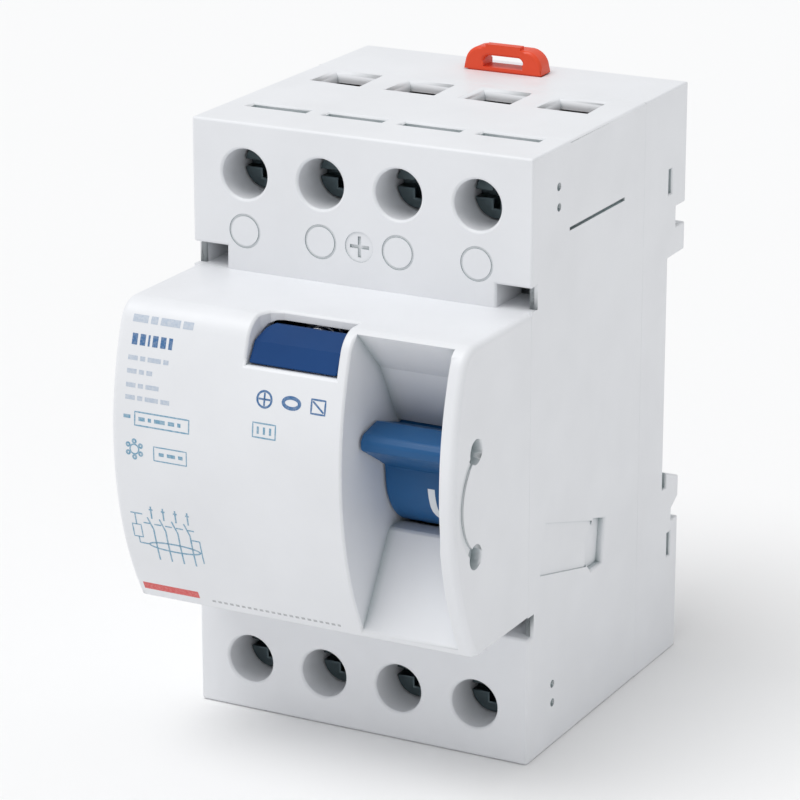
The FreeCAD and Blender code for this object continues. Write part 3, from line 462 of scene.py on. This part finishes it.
white_shell("rear_shell", "base_housing", base_share)
white_shell("terminal_shell", "housing_body", body_share)
white_shell("nose_cover", "front_cover", cover_share)
for row in ("upper", "lower"):
    white_shell(f"{row}_front", f"terminal_front_{row}", front_share)


# ---------------------------------------------------------------- moving parts that show

TOGGLE_ROUND = 0.3 * MM
BUTTON_ROUND = 0.25 * MM
CLIP_ROUND = 0.4 * MM

rounded_copy("toggle_grip", "toggle_handle", "toggle", "toggle_blue", TOGGLE_ROUND)
rounded_copy("test_button_cap", "test_button", "test_button", "button_blue", BUTTON_ROUND)
rounded_copy("clip_slider", "rail_clip", "rail_clip", "clip_orange", CLIP_ROUND)


# ---------------------------------------------------------------- terminal screws and clamps

CLAMP_ROUND = 0.4 * MM
SCREW_ROUND = 0.16 * MM
HEAD_LENGTH = 5.5 * MM
HEAD_CUT = 0.1 * MM
ROD_OVERLAP = 0.3 * MM
ROD_RADIUS = 2.5 * MM
TIP_LENGTH = 1.2 * MM
TIP_SHARE = 0.2
THREAD_PITCH = 0.8 * MM
THREAD_DEPTH = 0.35 * MM
THREAD_SIDES = 32
STEPS_A_TURN = 8


def thread_ring(shape, centre, y, start_y, end_y):
    """One ring of corners round the rod, with the thread's ridge where the pitch puts it."""
    tip = min(1.0, (end_y - y) / TIP_LENGTH)
    taper = 1.0 - TIP_SHARE + TIP_SHARE * tip
    ring = []
    for side in range(THREAD_SIDES):
        turn = side / THREAD_SIDES
        phase = ((y - start_y) / THREAD_PITCH - turn) % 1.0
        flank = abs(2 * phase - 1)
        reach = (ROD_RADIUS - THREAD_DEPTH * flank) * taper
        angle = math.tau * turn
        ring.append(shape.verts.new((centre.x + reach * math.cos(angle), y,
                                     centre.z + reach * math.sin(angle))))
    return ring


def threaded_rod(shape, centre, start_y, end_y):
    """Add a closed rod along Y whose surface is a screw thread, with a tapered tip."""
    count = round((end_y - start_y) / THREAD_PITCH * STEPS_A_TURN)
    rings = []
    for step in range(count + 1):
        y = start_y + (end_y - start_y) * step / count
        rings.append(thread_ring(shape, centre, y, start_y, end_y))
    for ring, after in zip(rings, rings[1:]):
        for side in range(THREAD_SIDES):
            following = (side + 1) % THREAD_SIDES
            shape.faces.new((ring[side], after[side], after[following], ring[following]))
    shape.faces.new(rings[0])
    shape.faces.new(list(reversed(rings[-1])))


def terminal_screw(name):
    """A screw with the CAD head, its slot and cross, and a cut thread."""
    low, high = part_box(name)
    centre = (low + high) / 2
    head_rear = low.y + HEAD_LENGTH
    shape = clean_copy(name)
    everything = shape.verts[:] + shape.edges[:] + shape.faces[:]
    bmesh.ops.bisect_plane(shape, geom=everything, plane_co=(0, head_rear - HEAD_CUT, 0),
                           plane_no=(0, 1, 0), clear_outer=True)
    rim = [edge for edge in shape.edges if edge.is_boundary]
    bmesh.ops.contextual_create(shape, geom=rim)
    weigh_edges(shape, SCREW_ROUND, full_share)
    threaded_rod(shape, centre, head_rear - ROD_OVERLAP, high.y)
    bmesh.ops.recalc_face_normals(shape, faces=shape.faces[:])
    piece = piece_from(shape, name + "_cut", name, "screw_steel")
    smooth(piece)
    rounding(piece, SCREW_ROUND)
    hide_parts(name)


for side in SIDES:
    for pole in POLES:
        terminal_screw(f"{side}_screw_{pole}")
        clamp = f"{side}_clamp_{pole}"
        rounded_copy(clamp + "_cage", clamp, clamp, "clamp_steel", CLAMP_ROUND)


# ---------------------------------------------------------------- springs that a slide presses


def pressed_spring(node):
    """A coil spring in its CAD shape, with a mesh of its own."""
    piece = piece_from(clean_copy(node), node + "_coil", "housing", "spring_steel")
    smooth(piece)
    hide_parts(node)
    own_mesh(piece)


pressed_spring("test_button_spring")
pressed_spring("rail_clip_spring")


# ---------------------------------------------------------------- inner parts keep their CAD shape

for part in frame["record"]["subparts"]:
    dress(frame["nodes"][part["node"]], MATERIALS[part["material_slot"]])


# ---------------------------------------------------------------- ribbons of ink

# A print's places and widths are millimetres. LIFT and SINK are its heights over and under the
# surface, STEP and LANE the largest cells along and across it.
LIFT = 0.02 * MM
SINK = 0.06 * MM
STEP = 0.7 * MM
LANE = 0.6 * MM
RAY_START = 0.01
DRUM_REACH = 9.0


def bvh_of(node):
    shape = bmesh.new()
    shape.from_mesh(frame["nodes"][node].data)
    surface = BVHTree.FromBMesh(shape)
    shape.free()
    return surface


cover_surface = bvh_of("front_cover")


def on_nose(x, z, height):
    """A point at x, z in millimetres, at a height over the nose's front surface."""
    start = Vector((x * MM, cover_low.y - RAY_START, z * MM))
    place, normal, _, _ = cover_surface.ray_cast(start, Vector((0, 1, 0)))
    return place + normal * height


def on_drum(x, angle, height):
    """A point on the toggle's drum, at x in millimetres and an angle in degrees about its axle."""
    reach = DRUM_REACH * MM + height
    turn = math.radians(angle)
    return Vector((x * MM, pivot.y + reach * math.cos(turn), pivot.z + reach * math.sin(turn)))


def fine_path(points, closed):
    """The path with points added, so that it can follow a curved surface."""
    corners = [Vector(point) for point in points]
    if closed:
        corners.append(corners[0])
    path = [corners[0]]
    for a, b in zip(corners, corners[1:]):
        parts = max(1, math.ceil((b - a).length * MM / STEP))
        path.extend(a.lerp(b, (number + 1) / parts) for number in range(parts))
    if closed:
        path.pop()
    return path


def ribbon_section(shape, place, point, across, lanes):
    """The corners of a ribbon's cross-section, over the surface and back under it."""
    spots = [point + across * (0.5 - lane / lanes) for lane in range(lanes + 1)]
    section = [shape.verts.new(place(spot.x, spot.y, LIFT)) for spot in spots]
    section += [shape.verts.new(place(spot.x, spot.y, -SINK)) for spot in reversed(spots)]
    return section


def strip(shape, place, points, width, closed=False):
    """Add a thin closed ribbon of ink along a path on a surface."""
    path = fine_path(points, closed)
    count = len(path)
    lanes = max(1, math.ceil(width * MM / LANE))
    sections = []
    for number, point in enumerate(path):
        before = path[number - 1] if closed or number else point
        after = path[(number + 1) % count] if closed or number < count - 1 else point
        along = (after - before).normalized()
        across = Vector((-along.y, along.x)) * width
        sections.append(ribbon_section(shape, place, point, across, lanes))
    corners = len(sections[0])
    following = sections[1:] + sections[:1] if closed else sections[1:]
    for a, b in zip(sections, following):
        for corner in range(corners):
            after = (corner + 1) % corners
            shape.faces.new((a[corner], b[corner], b[after], a[after]))
    if not closed:
        shape.faces.new(sections[0])
        shape.faces.new(list(reversed(sections[-1])))


def bar(shape, x0, z0, x1, z1, width):
    strip(shape, on_nose, ((x0, z0), (x1, z1)), width)


def outline(shape, x0, z0, x1, z1, width):
    strip(shape, on_nose, ((x0, z0), (x1, z0), (x1, z1), (x0, z1)), width, closed=True)


def ring_line(shape, x, z, across, high, width, count=28):
    """A round or oval line about a middle, with its half width and half height."""
    points = []
    for number in range(count):
        turn = math.tau * number / count
        points.append((x + across * math.cos(turn), z + high * math.sin(turn)))
    strip(shape, on_nose, points, width, closed=True)


def blocks(shape, x0, x1, z, height, lengths, gap):
    """A row of blank blocks where a line of printing would be, repeated from x0 to x1."""
    x = x0
    number = 0
    while x < x1 - gap:
        length = min(lengths[number % len(lengths)], x1 - x)
        bar(shape, x, z, x + length, z, height)
        x += length + gap
        number += 1


def print_piece(name, shape, material, body="housing", slot="housing_white"):
    bmesh.ops.recalc_face_normals(shape, faces=shape.faces[:])
    piece = piece_from(shape, name, body, slot)
    dress(piece, material)


# ---------------------------------------------------------------- printed marks

def rating_marks():
    """Blank blocks for the rating lines at the upper left of the nose."""
    left = -24.2
    pale = bmesh.new()
    blocks(pale, left, -14.0, 19.3, height=0.95, lengths=(2.4, 1.1, 3.1, 1.6), gap=0.45)
    for right, z in ((-17.8, 14.1), (-20.2, 12.3), (-19.0, 10.4), (-17.2, 8.7)):
        blocks(pale, left, right, z, height=0.62, lengths=(1.5, 0.8, 2.1), gap=0.40)
    print_piece("print_rating_lines", pale, PALE_INK)
    bold = bmesh.new()
    blocks(bold, -23.9, -17.5, 16.6, height=1.5, lengths=(0.85, 0.85, 0.3, 0.85), gap=0.42)
    print_piece("print_rating_bold", bold, NAVY_INK)


def cog(shape, x, z):
    """A ring of small rings round a hub."""
    teeth, reach, tooth, hub = 6, 1.15, 0.26, 0.7
    for number in range(teeth):
        turn = math.radians(360 / teeth * number + 90)
        tooth_x = x + reach * math.cos(turn)
        tooth_z = z + reach * math.sin(turn)
        ring_line(shape, tooth_x, tooth_z, tooth, tooth, width=0.28, count=10)
    ring_line(shape, x, z, hub, hub, width=0.2, count=18)


def left_symbols():
    """Two boxed lines of blocks, each with a small mark at its left."""
    shape = bmesh.new()
    outline(shape, -22.6, 4.9, -14.0, 6.8, width=0.2)
    blocks(shape, -22.0, -14.8, 5.85, height=0.55, lengths=(1.0, 0.5, 1.7), gap=0.5)
    bar(shape, -24.4, 6.0, -23.3, 6.0, width=0.5)
    outline(shape, -19.6, 0.2, -14.4, 2.2, width=0.16)
    blocks(shape, -18.8, -15.0, 1.2, height=0.5, lengths=(0.8, 1.3), gap=0.5)
    cog(shape, -22.7, 1.4)
    print_piece("print_symbols", shape, BLUE_INK)


def pole_lines(shape, first, pitch, line):
    """Four poles, each with a terminal, an open contact and its line down."""
    top, contact_top, contact_low, low = -7.0, -8.9, -10.6, -15.6
    half_terminal, terminal_rise, swing = 0.3, 0.5, 0.75
    for number in range(len(POLES)):
        x = first + pitch * number
        bar(shape, x, top, x, contact_top, line)
        bar(shape, x - swing, contact_top + 0.1, x, contact_low, line)
        bar(shape, x, contact_low, x, low, line)
        bar(shape, x - half_terminal, top - terminal_rise, x + half_terminal,
            top - terminal_rise, line)


def coupling_line(shape, line):
    """A dashed line through the four contacts."""
    left, pitch, dash, z = -22.4, 1.75, 1.1, -9.75
    for number in range(5):
        x = left + pitch * number
        bar(shape, x, z, x + dash, z, line)


def relay_lines(shape, line):
    """The tripping relay's box, between the coupling line and the summing ring."""
    x, left, right = -23.6, -24.3, -22.9
    rod_z, box_top, box_low, ring_z = -8.4, -10.2, -12.2, -13.2
    outline(shape, left, box_low, right, box_top, line)
    bar(shape, x, rod_z, x, box_top, line)
    bar(shape, left, rod_z, -22.4, rod_z, line)
    bar(shape, x, box_low, x, ring_z, line)
    bar(shape, x, ring_z, -22.0, ring_z, line)


def test_lines(shape, last, line):
    """The test circuit's line, beside the last pole."""
    reach, top, low = 1.4, -11.3, -14.9
    bar(shape, last, top, last + reach, top, line)
    bar(shape, last + reach, top, last + reach, low, line)


def wiring_diagram():
    """A plain four-pole symbol: contacts above, a coupling line and the summing ring below."""
    shape = bmesh.new()
    first, pitch, bold, fine = -20.9, 1.95, 0.22, 0.18
    last = first + pitch * 3
    pole_lines(shape, first, pitch, bold)
    ring_line(shape, (first + last) / 2, -13.2, 4.1, 0.62, bold)
    coupling_line(shape, fine)
    relay_lines(shape, fine)
    test_lines(shape, last, fine)
    print_piece("print_wiring_diagram", shape, BLUE_INK)


def button_symbols():
    """A crossed ring, an oval and a barred box in a row under the button."""
    shape = bmesh.new()
    ring_line(shape, -2.45, 11.4, 1.1, 1.1, width=0.3)
    bar(shape, -2.45, 10.5, -2.45, 12.3, width=0.26)
    bar(shape, -3.35, 11.4, -1.55, 11.4, width=0.26)
    ring_line(shape, 1.7, 11.45, 1.25, 0.72, width=0.5)
    outline(shape, 4.75, 10.55, 6.85, 12.45, width=0.26)
    bar(shape, 4.95, 12.2, 6.65, 10.8, width=0.26)
    print_piece("print_button_symbols", shape, NAVY_INK)


def small_box():
    """A box with three upright bars."""
    shape = bmesh.new()
    first, pitch = -3.2, 0.95
    outline(shape, -4.0, 6.1, -0.5, 8.1, width=0.2)
    for number in range(3):
        x = first + pitch * number
        bar(shape, x, 6.6, x, 7.6, width=0.32)
    print_piece("print_small_box", shape, BLUE_INK)


def lower_edge_marks():
    """A red bar and a dotted line along the nose's lower edge."""
    shape = bmesh.new()
    bar(shape, -25.2, -20.9, -16.2, -20.9, width=1.15)
    print_piece("print_red_bar", shape, RED_INK)
    dots = bmesh.new()
    blocks(dots, -14.2, 6.2, -21.5, height=0.34, lengths=(0.55,), gap=0.4)
    print_piece("print_dotted_line", dots, GREY_INK)


def off_mark():
    """The white mark of the off position, a U on the toggle's drum."""
    shape = bmesh.new()
    degrees_a_mm = math.degrees(1 / DRUM_REACH)
    half, straight, bend, bend_parts = 2.0, 3.1, 3.0, 12
    middle_x, top_angle, width = 19.0, -172, 1.05
    points = [(-half, 0.0)]
    for number in range(bend_parts + 1):
        turn = math.pi * (1 + number / bend_parts)
        points.append((half * math.cos(turn), bend * math.sin(turn) - straight))
    points.append((half, 0.0))

    def place(x, rise, height):
        return on_drum(middle_x + x, top_angle - rise * degrees_a_mm, height)

    strip(shape, place, points, width)
    print_piece("print_off_mark", shape, WHITE_INK, "toggle", "toggle_blue")


rating_marks()
left_symbols()
wiring_diagram()
button_symbols()
small_box()
lower_edge_marks()
off_mark()


# ---------------------------------------------------------------- floor, light and camera

FLOOR_DROP = 0.05 * MM
FLOOR_HALF = 6.0
PAPER_GREY = (0.9, 0.9, 0.9)
PAPER_DARK = (0.895, 0.895, 0.897)
PAPER_LIGHT = (0.905, 0.905, 0.905)
PAPER_ROUGHNESS = 0.9
PAPER_GLOSS = 0.1
PAPER_CLOUDS = 9
SKY_COLOUR = (0.985, 0.992, 1.0, 1.0)
SKY_STRENGTH = 0.66
SENSOR_WIDTH_MM = 36.0
FOCAL_LENGTH_MM = 162.7
NEAREST_SEEN = 0.01
CAMERA_PLACE = (0.22831, -0.46920, 0.16166)
LOOK_AT = Vector((-0.00133, -0.03127, 0.00079))


def pale_floor():
    shape = bmesh.new()
    bmesh.ops.create_grid(shape, x_segments=1, y_segments=1, size=FLOOR_HALF)
    mesh = bpy.data.meshes.new("floor")
    shape.to_mesh(mesh)
    shape.free()
    floor = bpy.data.objects.new("floor", mesh)
    floor.location.z = cad_box[0].z - FLOOR_DROP
    bpy.context.scene.collection.objects.link(floor)
    material, tree, shader = start_material("floor_paper", PAPER_GREY, PAPER_ROUGHNESS, 0.0)
    shader.inputs["Specular IOR Level"].default_value = PAPER_GLOSS
    paper = colour_mix(tree, PAPER_DARK, PAPER_LIGHT, noise(tree, PAPER_CLOUDS))
    tree.links.new(paper, shader.inputs["Base Color"])
    floor.data.materials.append(material)


def sun(name, azimuth, elevation, strength, softness):
    """A soft sun. Azimuth 0 shines along +Y, and 90 along -X, as from the right."""
    light = bpy.data.lights.new(name, "SUN")
    light.energy = strength
    light.angle = math.radians(softness)
    lamp = bpy.data.objects.new(name, light)
    across, up = math.radians(azimuth), math.radians(elevation)
    level = math.cos(up)
    towards = Vector((math.sin(across) * level, -math.cos(across) * level, math.sin(up)))
    lamp.rotation_euler = towards.to_track_quat("Z", "Y").to_euler()
    bpy.context.scene.collection.objects.link(lamp)


def soft_light():
    world = bpy.data.worlds.new("studio")
    world.use_nodes = True
    background = world.node_tree.nodes["Background"]
    background.inputs["Color"].default_value = SKY_COLOUR
    background.inputs["Strength"].default_value = SKY_STRENGTH
    bpy.context.scene.world = world
    sun("key", azimuth=-40, elevation=66, strength=1.45, softness=40)


def photo_camera():
    lens = bpy.data.cameras.new("camera")
    lens.sensor_width = SENSOR_WIDTH_MM
    lens.lens = FOCAL_LENGTH_MM
    lens.clip_start = NEAREST_SEEN
    camera = bpy.data.objects.new("camera", lens)
    camera.location = CAMERA_PLACE
    camera.rotation_euler = (LOOK_AT - camera.location).to_track_quat("-Z", "Y").to_euler()
    bpy.context.scene.collection.objects.link(camera)
    bpy.context.scene.camera = camera


pale_floor()
soft_light()
photo_camera()
bpy.context.scene.view_settings.view_transform = "Standard"
